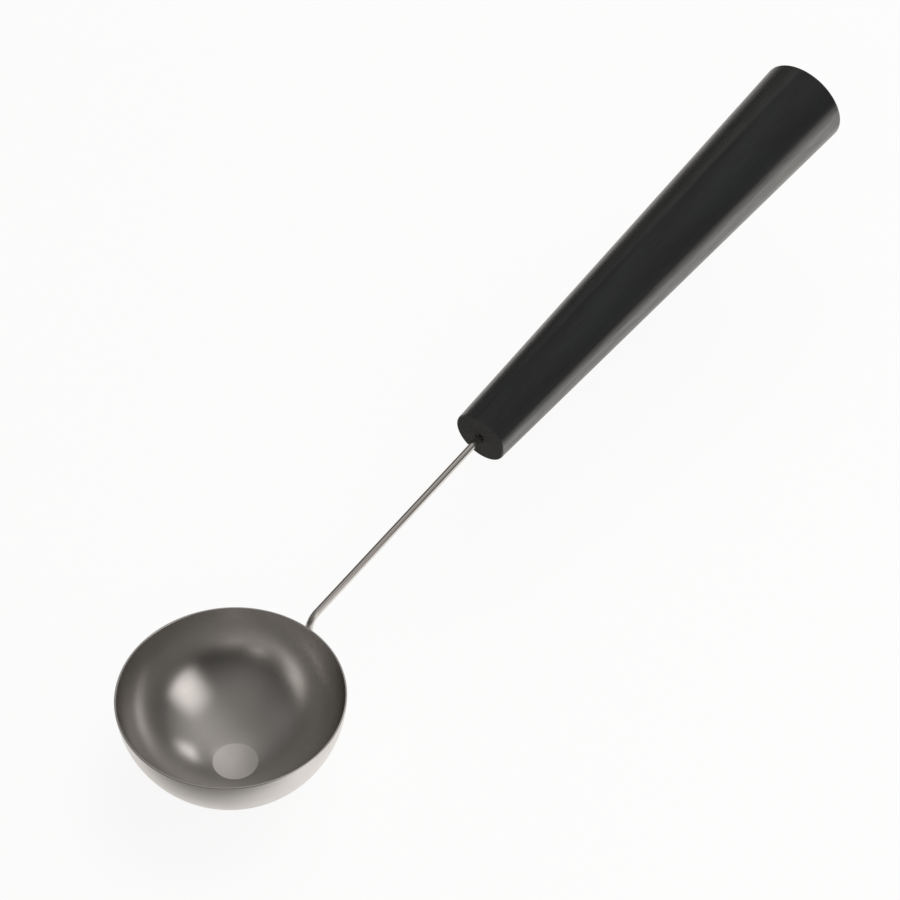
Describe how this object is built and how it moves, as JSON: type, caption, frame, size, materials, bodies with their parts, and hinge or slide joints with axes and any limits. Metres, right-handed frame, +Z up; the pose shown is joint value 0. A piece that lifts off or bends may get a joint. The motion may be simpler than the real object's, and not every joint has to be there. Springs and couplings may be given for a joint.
{
  "type": "sauna ladle",
  "caption": "Sauna ladle for pouring water on hot stones: a round steel bowl on a bent steel wire stem, with a long tapered black wooden grip.",
  "frame": {"origin": "centre of the flat underside of the bowl", "axes": "+X along the handle away from the bowl, +Z up out of the bowl's mouth"},
  "size_m": [0.4296, 0.09, 0.1026],
  "materials": {
    "bowl_steel": "satin pressed stainless steel",
    "wire_steel": "bright drawn stainless wire",
    "weld_steel": "cleaned weld metal",
    "black_wood": "black stain under satin lacquer",
    "adhesive": "cured adhesive"
  },
  "bodies": {
    "root": {"bowl": "bowl_steel", "stem": "wire_steel", "weld_left": "weld_steel", "weld_right": "weld_steel", "grip": "black_wood", "bond_sleeve": "adhesive"}
  },
  "joints": []
}
